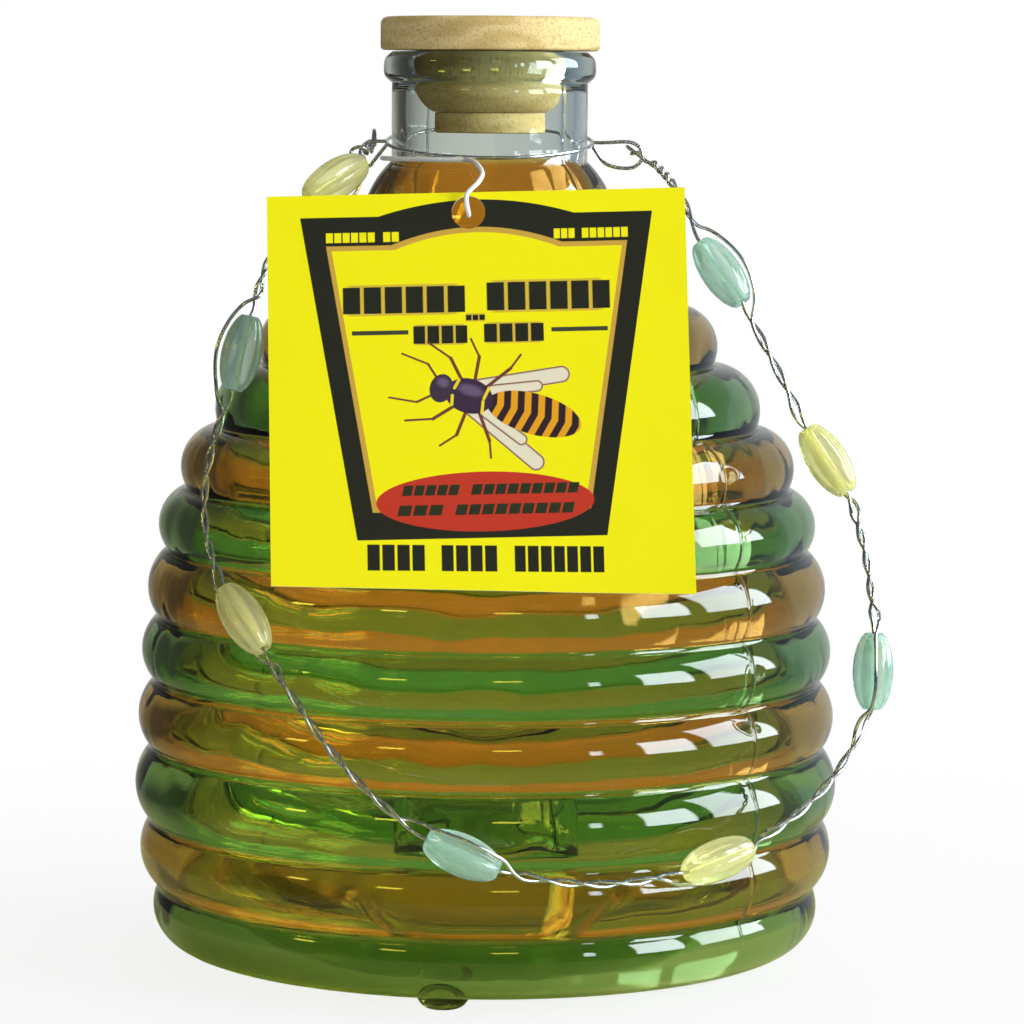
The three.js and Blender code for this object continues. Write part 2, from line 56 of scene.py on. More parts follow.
# ---- driving values, in millimetres
JAR_COLUMNS = 240
RING_STEPS = 12  # steps over each ring on the outside, and two fewer on the inside
LIP_END = -14.5  # the lip bead is above this height
WALL = 4.4  # side wall at the grooves
INNER_RISE = 0.5  # the inside follows this share of each ring's bulge
NECK_BORE_R = 17.8
LIP_BORE_R = 17.2
LIP_BORE_DEPTH = 2.6  # the mouth's narrow part, below its rounded edge
MOUTH_EDGE = 0.8
FLOOR_T = 2.6
INNER_CORNER = [6.5, 2.2]  # where the floor starts to turn up, in from the last groove, and its bulge
BASE_FLAT_R = 50
BASE_ARCH = 1.6
FUNNEL_FOOT_R = 29
FUNNEL_THROAT_R = 17.2
FUNNEL_TOP = -170.5
FUNNEL_FLARE = 3.4  # how far the funnel's side stands off a straight cone
FUNNEL_NEAR_R = 34  # inside this circle the low glass is the funnel's
FOOT_CIRCLE_R = 57
FOOT_R = 5.4
FOOT_PAD_R = 2.6
FOOT_ANGLES = [math.radians(-98 + 120 * i) for i in range(3)]
SEAM_ANGLES = [math.radians(-42), math.radians(138)]  # where the mould's halves met
SEAM_W = 0.35
SEAM_H = 0.16

CAP_EDGE = 1.5
CAP_FOOT_EDGE = 0.7
PLUG_EDGE = 0.4
PLUG_STRAIGHT = 6.3
PLUG_SWELL = 1.1
TIP_EDGE = 0.25
TIP_FOOT_EDGE = 0.5

WIRE_R = 0.375
NECK_WIRE_R = 0.4
EYE_DROP = 5.2
NECK_RING_TILT = math.radians(8)
STRING_R = 0.5

BEAD_FLUTES = 8
FLUTE_DEPTH = 0.1
BEAD_BORE_R = 0.95
BEAD_TAPER = 0.8
BEAD_END = 0.08  # share of the half length over which the flutes fade out

CARD_T = 0.45
CARD_HOLE_R = 3.35
CARD_COLUMNS = 176
CARD_STEPS = 26

FLOOR_R = 2500
FLOOR_SIDES = 96


# ---- mesh helpers
def placed(name, data):
    """A new scene object."""
    obj = bpy.data.objects.new(name, data)
    bpy.context.scene.collection.objects.link(obj)
    return obj


def new_object(name, points, faces, body, slot, materials, replaced, face_material=None):
    """A smooth mesh piece from points in millimetres, riding on a CAD body in place of a CAD node."""
    mesh = bpy.data.meshes.new(name)
    mesh.from_pydata((np.asarray(points, float) * MM).tolist(), [], faces)
    mesh.validate()
    for material in materials:
        mesh.materials.append(material)
    if face_material is not None:
        mesh.polygons.foreach_set("material_index", np.asarray(face_material, np.int32))
    mesh.polygons.foreach_set("use_smooth", np.full(len(mesh.polygons), True))
    mesh.update()
    obj = placed(name, mesh)
    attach(obj, body)
    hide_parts(replaced)
    return obj


def grid_faces(rows, columns, wrap_rows=False, wrap_columns=True):
    """Quads over a rows x columns lattice of points."""
    faces = []
    for i in range(rows if wrap_rows else rows - 1):
        j = (i + 1) % rows
        for k in range(columns if wrap_columns else columns - 1):
            m = (k + 1) % columns
            faces.append((i * columns + k, i * columns + m, j * columns + m, j * columns + k))
    return faces


def turn_between(a, b):
    """The angle from a to b, at most half a turn either way."""
    return (b - a + math.pi) % TURN - math.pi


def circle_through(a, b, c, steps):
    """Points of the arc from a to c that passes b, without a."""
    (ax, ay), (bx, by), (cx, cy) = a, b, c
    d = 2 * (ax * (by - cy) + bx * (cy - ay) + cx * (ay - by))
    sa, sb, sc = ax * ax + ay * ay, bx * bx + by * by, cx * cx + cy * cy
    ux = (sa * (by - cy) + sb * (cy - ay) + sc * (ay - by)) / d
    uy = (sa * (cx - bx) + sb * (ax - cx) + sc * (bx - ax)) / d
    radius = math.hypot(ax - ux, ay - uy)
    start = math.atan2(ay - uy, ax - ux)
    middle = turn_between(start, math.atan2(by - uy, bx - ux))
    end = (math.atan2(cy - uy, cx - ux) - start) % TURN
    if middle < 0:
        end -= TURN
    return [
        (ux + radius * math.cos(start + end * i / steps), uy + radius * math.sin(start + end * i / steps))
        for i in range(1, steps + 1)
    ]


def risen_arc(a, b, rise, steps):
    """An arc from a to b standing out by rise to the left of the way, without a."""
    dx, dy = b[0] - a[0], b[1] - a[1]
    chord = math.hypot(dx, dy)
    middle = ((a[0] + b[0]) / 2 - dy / chord * rise, (a[1] + b[1]) / 2 + dx / chord * rise)
    return circle_through(a, middle, b, steps)


def line(a, b, steps):
    """Points from a to b, without a."""
    return [(a[0] + (b[0] - a[0]) * i / steps, a[1] + (b[1] - a[1]) * i / steps) for i in range(1, steps + 1)]


def spline(points, step):
    """A centripetal Catmull-Rom curve through points, sampled about every step."""
    p = [np.asarray(q, float) for q in points]
    all_points = [2 * p[0] - p[1], *p, 2 * p[-1] - p[-2]]
    out = []
    for q0, q1, q2, q3 in zip(all_points, all_points[1:], all_points[2:], all_points[3:], strict=False):
        t0, t1 = 0.0, max(np.linalg.norm(q1 - q0), 1e-9) ** 0.5
        t2 = t1 + max(np.linalg.norm(q2 - q1), 1e-9) ** 0.5
        t3 = t2 + max(np.linalg.norm(q3 - q2), 1e-9) ** 0.5
        for t in np.linspace(t1, t2, max(1, round(np.linalg.norm(q2 - q1) / step)), endpoint=False):
            a1 = (t1 - t) / (t1 - t0) * q0 + (t - t0) / (t1 - t0) * q1
            a2 = (t2 - t) / (t2 - t1) * q1 + (t - t1) / (t2 - t1) * q2
            a3 = (t3 - t) / (t3 - t2) * q2 + (t - t2) / (t3 - t2) * q3
            b1 = (t2 - t) / (t2 - t0) * a1 + (t - t0) / (t2 - t0) * a2
            b2 = (t3 - t) / (t3 - t1) * a2 + (t - t1) / (t3 - t1) * a3
            out.append((t2 - t) / (t2 - t1) * b1 + (t - t1) / (t2 - t1) * b2)
    return np.array([*out, p[-1]])


def tube(points, radius, sides=12, closed=False):
    """(points, faces) of a round tube along a centreline, with rounded ends if it is open."""
    p = np.asarray(points, float)
    tangents = np.roll(p, -1, 0) - np.roll(p, 1, 0)
    if not closed:
        tangents[0], tangents[-1] = p[1] - p[0], p[-1] - p[-2]
    tangents /= np.linalg.norm(tangents, axis=1)[:, None]
    normal = np.cross(tangents[0], [0.0, 0.0, 1.0] if abs(tangents[0][2]) < 0.9 else [1.0, 0.0, 0.0])
    rings, radii = [], np.full(len(p), float(radius))
    if not closed:
        cap = [(0.35, 0.94), (0.75, 0.66)]  # share of the radius along and across, at each end
        shrunk = [across * radius for _, across in cap]
        head = [p[0] - tangents[0] * radius * along for along, _ in reversed(cap)]
        tail = [p[-1] + tangents[-1] * radius * along for along, _ in cap]
        p = np.vstack([head, p, tail])
        tangents = np.vstack([[tangents[0]] * 2, tangents, [tangents[-1]] * 2])
        radii = np.concatenate([shrunk[::-1], radii, shrunk])
    for point, tangent, r in zip(p, tangents, radii, strict=True):
        normal = normal - tangent * (normal @ tangent)
        normal /= np.linalg.norm(normal)
        side = np.cross(tangent, normal)
        angles = np.arange(sides) * TURN / sides
        rings.append(point + r * (np.outer(np.cos(angles), normal) + np.outer(np.sin(angles), side)))
    faces = grid_faces(len(p), sides, wrap_rows=closed)
    if not closed:
        faces += [tuple(range(sides - 1, -1, -1)), tuple(range((len(p) - 1) * sides, len(p) * sides))]
    return np.vstack(rings), faces


def joined(*parts):
    """Several (points, faces) as one."""
    points, faces, start = [], [], 0
    for part_points, part_faces in parts:
        points.append(part_points)
        faces += [tuple(i + start for i in face) for face in part_faces]
        start += len(part_points)
    return np.vstack(points), faces


def turned(outline, columns):
    """(points, faces) of an outline turned about Z. It runs from the axis at the top to the axis below."""
    angles = np.arange(columns) * TURN / columns
    inner = outline[1:-1]
    points = [[r * math.cos(a), r * math.sin(a), z] for r, z in inner for a in angles]
    faces = [tuple(reversed(face)) for face in grid_faces(len(inner), columns)]
    points += [[0, 0, outline[0][1]], [0, 0, outline[-1][1]]]
    top, bottom, last = len(points) - 2, len(points) - 1, (len(inner) - 1) * columns
    for k in range(columns):
        m = (k + 1) % columns
        faces += [(top, k, m), (bottom, last + m, last + k)]
    return np.array(points, float), faces


# ---- reading the frame
def node_points(node):
    """The different corners of a CAD node, in millimetres."""
    mesh = frame["nodes"][node].data
    co = np.empty(len(mesh.vertices) * 3)
    mesh.vertices.foreach_get("co", co)
    return co.reshape(-1, 3) / MM


def node_box(node):
    low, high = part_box(node)
    return np.array(low) / MM, np.array(high) / MM


def joint(name):
    """(point in millimetres, unit axis) of a joint."""
    found = next(j for j in frame["joints"] if j["name"] == name)
    axis = np.array(found["axis"], float)
    return np.array(found["pos_m"], float) / MM, axis / np.linalg.norm(axis)


def outer_corners(node):
    """[(radius, height)] corners of a turned node's outer skin, from the top down."""
    mesh = frame["nodes"][node].data
    tree = BVHTree.FromPolygons([v.co for v in mesh.vertices], [tuple(p.vertices) for p in mesh.polygons])
    points = node_points(node)
    flat = points[(abs(points[:, 1]) < 0.01) & (points[:, 0] > 1)]
    corners = {(round(x, 2), round(z, 2)) for x, _, z in flat}
    skin = []
    for r, z in corners:
        hit = tree.ray_cast(Vector((0.2, 0, z * MM)), Vector((-1, 0, 0)))[0]
        if hit is not None and abs(hit.x / MM - r) < 0.05:
            skin.append((r, z))
    return sorted(skin, key=lambda corner: -corner[1])


def centreline(node, sides):
    """The middle line of a CAD tube with that many sides, from one end to the other."""
    mesh = frame["nodes"][node].data
    points = node_points(node)
    _, first, same = np.unique(np.round(points, 3), axis=0, return_index=True, return_inverse=True)
    same = same.ravel()
    corners = points[first]
    near = [set() for _ in corners]
    for polygon in mesh.polygons:
        ids = [int(same[i]) for i in polygon.vertices]
        for i in ids:
            near[i].update(ids)

    def layers(start):
        seen, found = set(start), [list(start)]
        while found[-1]:
            ring = {j for i in found[-1] for j in near[i]} - seen
            seen |= ring
            found.append(sorted(ring))
        return found[:-1]

    far = layers([0])[-1][0]
    order = np.argsort(np.linalg.norm(corners - corners[far], axis=1))
    end = [int(i) for i in order[:sides]]
    return np.array([corners[ring].mean(0) for ring in layers(end) if len(ring) == sides])


# ---- node helpers
def operation(kind):
    """A method that puts a Math node of this kind after a Value."""
    return lambda self, *others: self.math(kind, *others)


class Value:
    """A number in a shader tree. Arithmetic on it adds Math nodes."""

    __add__, __sub__ = operation("ADD"), operation("SUBTRACT")
    __mul__, __truediv__ = operation("MULTIPLY"), operation("DIVIDE")
    max, min = operation("MAXIMUM"), operation("MINIMUM")
    abs, root, sin = operation("ABSOLUTE"), operation("SQRT"), operation("SINE")

    def __init__(self, tree, socket):
        self.tree = tree
        self.socket = socket

    def math(self, kind, *others, clamp=False):
        node = add(self.tree, "Math", self, *others)
        node.operation = kind
        node.use_clamp = clamp
        return Value(self.tree, node.outputs[0])

    def __neg__(self):
        return self.math("MULTIPLY", -1.0)

    def ramp(self, start, end, low=0.0, high=1.0):
        """A smooth step from low at start to high at end."""
        node = add(self.tree, "MapRange", self, start, end, low, high)
        node.interpolation_type = "SMOOTHSTEP"
        return Value(self.tree, node.outputs["Result"])

    def band(self, start, end, soft):
        """1 between start and end, 0 outside."""
        return self.ramp(start - soft, start + soft) * self.ramp(end - soft, end + soft, 1.0, 0.0)


def put(tree, socket, value):
    """Link or set an input."""
    if isinstance(value, Value):
        tree.links.new(value.socket, socket)
    elif hasattr(value, "is_output"):
        tree.links.new(value, socket)
    elif isinstance(value, tuple) and len(value) == 3 and socket.type == "RGBA":
        socket.default_value = (*value, 1.0)
    else:
        socket.default_value = value


def set_inputs(tree, node, **values):
    for name, value in values.items():
        put(tree, node.inputs[name.replace("_", " ")], value)


def add(tree, kind, *in_order, **by_name):
    """A new node with its inputs linked or set, the first ones in order and others by name."""
    node = tree.nodes.new("ShaderNode" + kind)
    for socket, value in zip(node.inputs, in_order, strict=False):
        put(tree, socket, value)
    set_inputs(tree, node, **by_name)
    return node


def new_material(name):
    """(material, tree, principled node, place in millimetres) of an empty node material."""
    material = bpy.data.materials.new(name)
    material.use_nodes = True
    tree = material.node_tree
    tree.nodes.clear()
    shader = add(tree, "BsdfPrincipled")
    add(tree, "OutputMaterial", Surface=shader.outputs[0])
    return material, tree, shader, place_mm(tree)


def place_mm(tree, stretch=(1, 1, 1)):
    """The piece's own coordinates in millimetres, stretched by a factor on each axis."""
    scale = [s / MM for s in stretch]
    return add(tree, "Mapping", Vector=add(tree, "TexCoord").outputs["Object"], Scale=scale).outputs[0]


def parts_of(tree, vector):
    return [Value(tree, socket) for socket in add(tree, "SeparateXYZ", Vector=vector).outputs]


def mix_colour(tree, factor, a, b):
    node = tree.nodes.new("ShaderNodeMix")
    node.data_type = "RGBA"
    for slot, value in ((0, factor), (6, a), (7, b)):
        put(tree, node.inputs[slot], value)
    return node.outputs[2]


def painted(tree, colour, layers):
    """A colour with each (cover, tone) layer laid over it in turn."""
    for cover, tone in layers:
        colour = mix_colour(tree, cover, colour, tone)
    return colour


def noise(tree, vector, scale, detail=3.0, roughness=0.5, distortion=0.0):
    node = add(tree, "TexNoise", Vector=vector, Scale=scale, Detail=detail, Roughness=roughness,
               Distortion=distortion)
    return Value(tree, node.outputs["Fac"])


def bump(tree, height, strength, distance_mm):
    return add(tree, "Bump", Height=height, Strength=strength, Distance=distance_mm * MM).outputs[0]


def colour_ramp(tree, share, stops, interpolation):
    """A colour ramp over share, with stops [(position, colour)] in rising order."""
    ramp = add(tree, "ValToRGB", Fac=share)
    ramp.color_ramp.interpolation = interpolation
    elements = ramp.color_ramp.elements
    for i, (position, colour) in enumerate(stops):
        element = elements[i] if i < 2 else elements.new(position)
        element.position = position
        element.color = (*colour, 1)
    return ramp.outputs[0]


def mix_shaders(tree, share, a, b):
    """Shader a, turning into shader b as share goes from 0 to 1."""
    return add(tree, "MixShader", share, a, b).outputs[0]


def use_surface(tree, surface):
    output = next(n for n in tree.nodes if n.type in ("OUTPUT_MATERIAL", "OUTPUT_WORLD"))
    tree.links.new(surface, output.inputs["Surface"])


# ---- materials
# what each skin leaves of white light, crossed twice: the stain is mostly on the inside
AMBER = {"outside": (0.78, 0.47, 0.12), "inside": (0.78, 0.53, 0.12)}
GREEN = {"outside": (0.33, 0.58, 0.24), "inside": (0.33, 0.56, 0.13)}
CLEAR = (0.92, 0.96, 0.94)
LIP_TINT = (0.72, 0.80, 0.76)
BLOTCH_TINT = (0.62, 0.62, 0.20)
# paler glass of the base; on the heel's lowest band and the feet the same tone is painted light, standing for
# floor light refracted through the glass's lower edge
PALE_BASE_AND_PAINTED_HEEL_LIGHT = (0.78, 0.86, 0.42)
FUNNEL_TINT = (0.95, 0.97, 0.86)


def lets_light_through(tree, shader, colour):
    """Lamps shine through the glass instead of casting a black shadow."""
    path = add(tree, "LightPath")
    clear = add(tree, "BsdfTransparent", Color=colour)
    use_surface(tree, mix_shaders(tree, path.outputs["Is Shadow Ray"], shader.outputs[0], clear.outputs[0]))


def stain(tree, where, grooves, side):
    """The glass's colour: clear in the neck, then amber and green by turns, changing at each groove; the
    heel's lowest band and the feet are painted paler, as painted light.
    """
    x, y, height = parts_of(tree, where)
    edge = height + (noise(tree, where, 0.12, 2.0) - 0.5) * 1.0
    neck_foot = grooves[0]
    bottom, top = grooves[-1] - 30, neck_foot + 10
    stops = [(neck_foot + 1.2, CLEAR)]
    for i, level in enumerate(grooves):
        above = (AMBER if i % 2 else GREEN)[side]
        below = (GREEN if i % 2 else AMBER)[side]
        stops += [(level + 0.5, above if i else CLEAR), (level - 0.5, below)]
    stops.sort(key=lambda stop: stop[0])
    stops = [((level - bottom) / (top - bottom), colour) for level, colour in stops]
    banded = colour_ramp(tree, (edge - bottom) / (top - bottom), stops, "LINEAR")
    blotch = noise(tree, where, 0.05, 3.0, 0.55).ramp(0.5, 0.8, 0.0, 0.25)
    middle = (x * x + y * y).root()
    low = height.ramp(-166, -163, 1.0, 0.0)
    base = middle.ramp(BASE_FLAT_R + 1, BASE_FLAT_R + 5, 1.0, 0.0) * low
    # painted light: the heel's lowest band and the feet are made paler, as if lit by the floor through the
    # glass's edge
    feet = height.ramp(-195.6, -193.2, 1.0, 0.0)
    funnel = middle.ramp(FUNNEL_NEAR_R, FUNNEL_NEAR_R + 4, 1.0, 0.0) * low
    neck = height.ramp(neck_foot - 0.6, neck_foot + 0.6)
    return painted(tree, banded, [(blotch, BLOTCH_TINT), (base.max(feet), PALE_BASE_AND_PAINTED_HEEL_LIGHT), (funnel, FUNNEL_TINT),
                                  (neck, CLEAR), (height.ramp(-14.6, -13.0), LIP_TINT)])


def outer_glass(grooves):
    """The outside skin, with the slight ripple of blown glass."""
    material, tree, shader, where = new_material("outer_glass")
    colour = stain(tree, where, grooves, "outside")
    ripple = noise(tree, where, 0.045, 2.0) + noise(tree, where, 0.9, 2.0) * 0.03
    smears = noise(tree, where, 0.03, 4.0, 0.6).ramp(0.55, 0.8, 0.0, 0.02)
    set_inputs(tree, shader, Base_Color=colour, Transmission_Weight=1.0, IOR=1.5, Roughness=smears,
               Normal=bump(tree, ripple, 0.3, 0.3))
    lets_light_through(tree, shader, colour)
    return material


def inner_glass(grooves):
    """The inside skin, a little more uneven than the outside."""
    material, tree, shader, where = new_material("inner_glass")
    colour = stain(tree, where, grooves, "inside")
    ripple = noise(tree, where, 0.05, 2.0, 0.5, 0.4)
    set_inputs(tree, shader, Base_Color=colour, Transmission_Weight=1.0, IOR=1.5, Roughness=0.0,
               Normal=bump(tree, ripple, 0.4, 0.6))
    lets_light_through(tree, shader, colour)
    return material


def wood():
    """Pale turned softwood: end-grain speckle at the front, long fibres along Y, a soft waxed surface."""
    material, tree, shader, _ = new_material("turned_wood")
    fibre = place_mm(tree, (1.0, 0.05, 0.7))
    broad = place_mm(tree, (0.05, 0.01, 0.16))
    specks = noise(tree, fibre, 2.6, 3.0, 0.6)
    ticks = noise(tree, place_mm(tree, (2.2, 0.1, 1.1)), 1.0, 3.0, 0.6)
    rings = (noise(tree, broad, 1.0, 1.0, 0.4) * 26.0).sin() * 0.5 + 0.5
    tone = mix_colour(tree, rings.ramp(0.0, 1.0), (0.60, 0.42, 0.15), (0.74, 0.55, 0.24))
    tone = painted(tree, tone, [(specks.ramp(0.50, 0.66, 0.0, 0.55), (0.34, 0.20, 0.08)),
                                (ticks.ramp(0.56, 0.70, 0.0, 0.5), (0.40, 0.26, 0.12))])
    grain = specks * 0.6 + ticks * 0.6 + rings * 0.1
    set_inputs(tree, shader, Base_Color=tone, Roughness=specks.ramp(0.3, 0.7, 0.5, 0.72), IOR=1.45,
               Normal=bump(tree, grain, 0.45, 0.12))
    return material


def steel():
    """Bright drawn wire with fine lengthwise draw marks and small dull patches."""
    material, tree, shader, where = new_material("bright_wire")
    patches = noise(tree, where, 0.5, 3.0)
    marks = noise(tree, where, 7.0, 2.0)
    tone = mix_colour(tree, patches.ramp(0.45, 0.75, 0.0, 0.5), (0.80, 0.81, 0.83), (0.52, 0.53, 0.55))
    set_inputs(tree, shader, Base_Color=tone, Metallic=1.0, Roughness=patches.ramp(0.3, 0.8, 0.16, 0.34),
               Normal=bump(tree, marks, 0.25, 0.05))
    return material


def bead_plastic(name, colour, milk):
    """Translucent moulded acrylic, milky inside, with flow marks along the bead."""
    material, tree, shader, where = new_material(name)
    cloud = noise(tree, where, 0.35, 3.0, 0.6)
    tone = mix_colour(tree, cloud.ramp(0.35, 0.7, 0.0, 0.6), colour, milk)
    set_inputs(tree, shader, Base_Color=tone, Transmission_Weight=0.74, IOR=1.49,
               Roughness=cloud.ramp(0.3, 0.7, 0.06, 0.2),
               Normal=bump(tree, noise(tree, where, 1.4, 2.0), 0.2, 0.08))
    lets_light_through(tree, shader, colour)
    return material


def nylon():
    """White twine of twisted nylon."""
    material, tree, shader, where = new_material("nylon_twine")
    strands = noise(tree, where, 3.0, 2.0)
    tone = mix_colour(tree, strands.ramp(0.4, 0.7), (0.80, 0.79, 0.74), (0.93, 0.93, 0.90))
    set_inputs(tree, shader, Base_Color=tone, Roughness=0.42, Subsurface_Weight=0.15, Subsurface_Scale=0.0008,
               Normal=bump(tree, strands, 0.3, 0.08))
    return material


def film():
    """Sachet film: pale, slightly shiny, with fine creases."""
    material, tree, shader, where = new_material("sachet_film")
    crease = noise(tree, where, 0.35, 4.0, 0.6, 0.8)
    tone = mix_colour(tree, crease.ramp(0.35, 0.7), (0.46, 0.47, 0.44), (0.66, 0.66, 0.62))
    set_inputs(tree, shader, Base_Color=tone, Roughness=crease.ramp(0.3, 0.7, 0.22, 0.4), Metallic=0.25,
               Normal=bump(tree, crease, 0.6, 0.6))
    return material


# ---- card art
YELLOW = (0.86, 0.76, 0.002)
INK = (0.018, 0.019, 0.012)
GOLD = (0.56, 0.33, 0.045)
RED = (0.50, 0.035, 0.015)


def segment(tree, point, a, b):
    """Distance from point to the segment a-b in the card's plane."""
    span = Vector((b[0] - a[0], b[1] - a[1], 0))

    def vector(kind, *inputs):
        node = add(tree, "VectorMath", *inputs)
        node.operation = kind
        return node

    off = vector("SUBTRACT", point, (a[0], a[1], 0)).outputs[0]
    along = Value(tree, vector("DOT_PRODUCT", off, span).outputs["Value"])
    nearest = vector("SCALE", span)
    set_inputs(tree, nearest, Scale=along.math("DIVIDE", span.length_squared, clamp=True))
    rest = vector("SUBTRACT", off, nearest.outputs[0]).outputs[0]
    return Value(tree, vector("LENGTH", rest).outputs["Value"])


def ellipse(x, y, centre, radii):
    """Below 1 inside an ellipse."""
    u = (x - centre[0]) / radii[0]
    v = (y - centre[1]) / radii[1]
    return (u * u + v * v).root()


def inside(distance, edge=0.0, soft=0.06):
    """1 where distance is under edge."""
    return distance.ramp(edge - soft, edge + soft, 1.0, 0.0)


def badge(x, y, top, bottom, top_half, bottom_half, arch_half, arch_rise):
    """Signed distance, roughly, to a keystone shape with a raised arch in the middle of its top edge."""
    middle = 1.5
    slope = (top_half - bottom_half) / (top - bottom)
    sides = (x - middle).abs() - (y - bottom) * slope - bottom_half
    lift = ((x - middle).abs() / arch_half).min(1.0)
    crown = y - top - (-(lift * lift) + 1.0) * arch_rise
    return sides.max(crown).max(-y + bottom)


def words(x, y, rows):
    """Placeholder words: each (left, right, bottom, top, letters) is a row of plain blocks."""
    made = None
    for left, right, bottom, top, letters in rows:
        pitch = (right - left) / letters
        phase = ((x - left) / pitch).math("FRACT")
        block = phase.band(0.07, 0.9, 0.03) * x.band(left, right, 0.08) * y.band(bottom, top, 0.08)
        made = block if made is None else made.max(block)
    return made


def wasp(tree, x, y, base):
    """A plain pictogram of a wasp from above, drawn over the colour base."""
    tilt = math.radians(-17)
    cx, cy = 3.6, -38.6
    u = (x - cx) * math.cos(tilt) + (y - cy) * math.sin(tilt)
    v = (y - cy) * math.cos(tilt) - (x - cx) * math.sin(tilt)
    half = add(tree, "CombineXYZ", X=u, Y=v.abs()).outputs[0]  # the two sides are alike
    wings = [((-3.5, 2.0), (12.0, 9.2), 1.7), ((-1.5, 1.8), (8.0, 5.6), 1.2)]
    legs = [((-6, 2), (-10, 6.4), 0.34), ((-10, 6.4), (-15.2, 8.2), 0.22), ((-4, 2), (-4.6, 8.2), 0.34),
            ((-4.6, 8.2), (-7.2, 11.2), 0.22), ((-2, 2), (2.0, 7.6), 0.34), ((2.0, 7.6), (3.2, 10.8), 0.22),
            ((-10.6, 1), (-14, 4), 0.24), ((-14, 4), (-19.5, 4.6), 0.2)]
    layers = []
    for a, b, width in wings:
        d = segment(tree, half, a, b)
        rim = inside(d, width) * d.ramp(width - 0.5, width - 0.15)
        layers += [(inside(d, width, 0.08), (0.74, 0.66, 0.48)), (rim, (0.24, 0.10, 0.07))]
    for a, b, width in legs:
        layers.append((inside(segment(tree, half, a, b), width), (0.16, 0.045, 0.03)))
    stripes = (u * 2.25 + v.abs() * 0.55).sin().ramp(-0.25, 0.15)
    body = mix_colour(tree, stripes, (0.75, 0.32, 0.01), (0.03, 0.015, 0.02))
    layers.append((inside(ellipse(u, v, (9.0, 0), (9.6, 4.1)), 1.0, 0.02), body))
    thorax = ((-4.4, 0), (4.8, 3.5), (0.045, 0.022, 0.05))
    head = ((-10.1, 0), (2.3, 2.9), (0.05, 0.03, 0.05))
    for centre, radii, tone in (thorax, head):
        sheen = ellipse(u, v, (centre[0], 1.2), (radii[0] * 0.5, radii[1] * 0.3))
        layers += [(inside(ellipse(u, v, centre, radii), 1.0, 0.03), tone),
                   (inside(sheen, 1.0, 0.5) * 0.5, (0.22, 0.16, 0.26))]
    for a, b in (((-7.6, 0.8), (-7.2, 2.6)), ((-1.4, 0.3), (-1.0, 2.6))):
        layers.append((inside(segment(tree, half, a, b), 0.3), (0.80, 0.60, 0.02)))
    return painted(tree, base, layers)


def printed_card():
    """Yellow coated card with a dark keystone badge, placeholder words and an insect pictogram."""
    material, tree, shader, where = new_material("printed_card")
    attribute = add(tree, "Attribute")
    attribute.attribute_name = "card_mm"
    x, y, _ = parts_of(tree, attribute.outputs["Vector"])
    fibre = noise(tree, where, 2.2, 3.0)
    uneven = noise(tree, where, 0.05, 2.0).ramp(0.3, 0.7, 0.0, 0.5)
    # (top, bottom, half its top width, half its bottom width, half the arch's width, the arch's rise)
    border = badge(x, y, -0.5, -65.9, 35.1, 24.6, 19.5, 3.1)
    window = badge(x, y, -6.4, -60.4, 30.0, 21.5, 17.0, 3.4)
    field = badge(x, y, -7.4, -59.8, 28.9, 20.5, 16.4, 3.3)
    title = [(-25.6, -0.6, -20.3, -14.9, 6), (3.0, 28.2, -20.1, -14.4, 6)]
    second = [(-11.6, -0.4, -26.6, -23.0, 4), (2.4, 14.8, -26.5, -22.8, 4), (-1.0, 3.0, -22.0, -20.9, 3)]
    oval_words = [(-14.6, -3.2, -57.2, -55.1, 5), (-1.0, 20.4, -57.2, -55.1, 9),
                  (-14.6, -5.4, -61.2, -59.1, 3), (-3.2, 20.4, -61.2, -59.1, 9)]
    bottom_words = [(-21.4, -9.6, -72.6, -67.4, 4), (-6.8, 4.6, -72.6, -67.4, 4),
                    (7.6, 25.6, -72.6, -67.4, 7)]
    small_words = [(-28.6, -18.6, -5.7, -3.7, 6), (-17.2, -13.8, -5.7, -3.7, 2),
                   (16.8, 21.2, -5.7, -3.7, 3), (22.4, 31.8, -5.7, -3.7, 6)]
    layers = [(uneven, (0.88, 0.80, 0.004)), (inside(border), INK), (inside(window), GOLD),
              (inside(field), YELLOW)]
    for rows, grow in ((title, 0.45), (second, 0.3)):
        halo = [(a - grow, b + grow, c - grow, d + grow, 1) for a, b, c, d, _ in rows]
        layers += [(words(x, y, halo) * 0.75, GOLD), (words(x, y, rows), INK)]
    rules = (y + 24.2).abs().ramp(0.38, 0.5, 1.0, 0.0) * (x - 1.8).abs().band(14.2, 25.4, 0.08)
    layers.append((rules, (0.05, 0.05, 0.03)))
    colour = wasp(tree, x, y, painted(tree, YELLOW, layers))
    slanted = x + (y + 58) * -0.25
    skewed = y + (x - 1.5) * 0.03
    colour = painted(tree, colour, [
        (inside(ellipse(x, y, (2.2, -58.6), (21.5, 6.0)), 1.0, 0.008), RED),
        (words(slanted, y, oval_words), (0.025, 0.03, 0.012)),
        (words(x, skewed, bottom_words), INK), (words(x, y, small_words), YELLOW)])
    set_inputs(tree, shader, Base_Color=colour, Roughness=fibre.ramp(0.3, 0.7, 0.42, 0.55), IOR=1.45,
               Specular_IOR_Level=0.2, Normal=bump(tree, fibre, 0.12, 0.05))
    return material


def bare_card():
    """The card's back and cut edge."""
    material, tree, shader, where = new_material("bare_card")
    fibre = noise(tree, where, 1.6, 4.0, 0.6)
    tone = mix_colour(tree, fibre.ramp(0.35, 0.7), (0.70, 0.68, 0.56), (0.80, 0.78, 0.68))
    set_inputs(tree, shader, Base_Color=tone, Roughness=0.75, Normal=bump(tree, fibre, 0.3, 0.05))
    return material


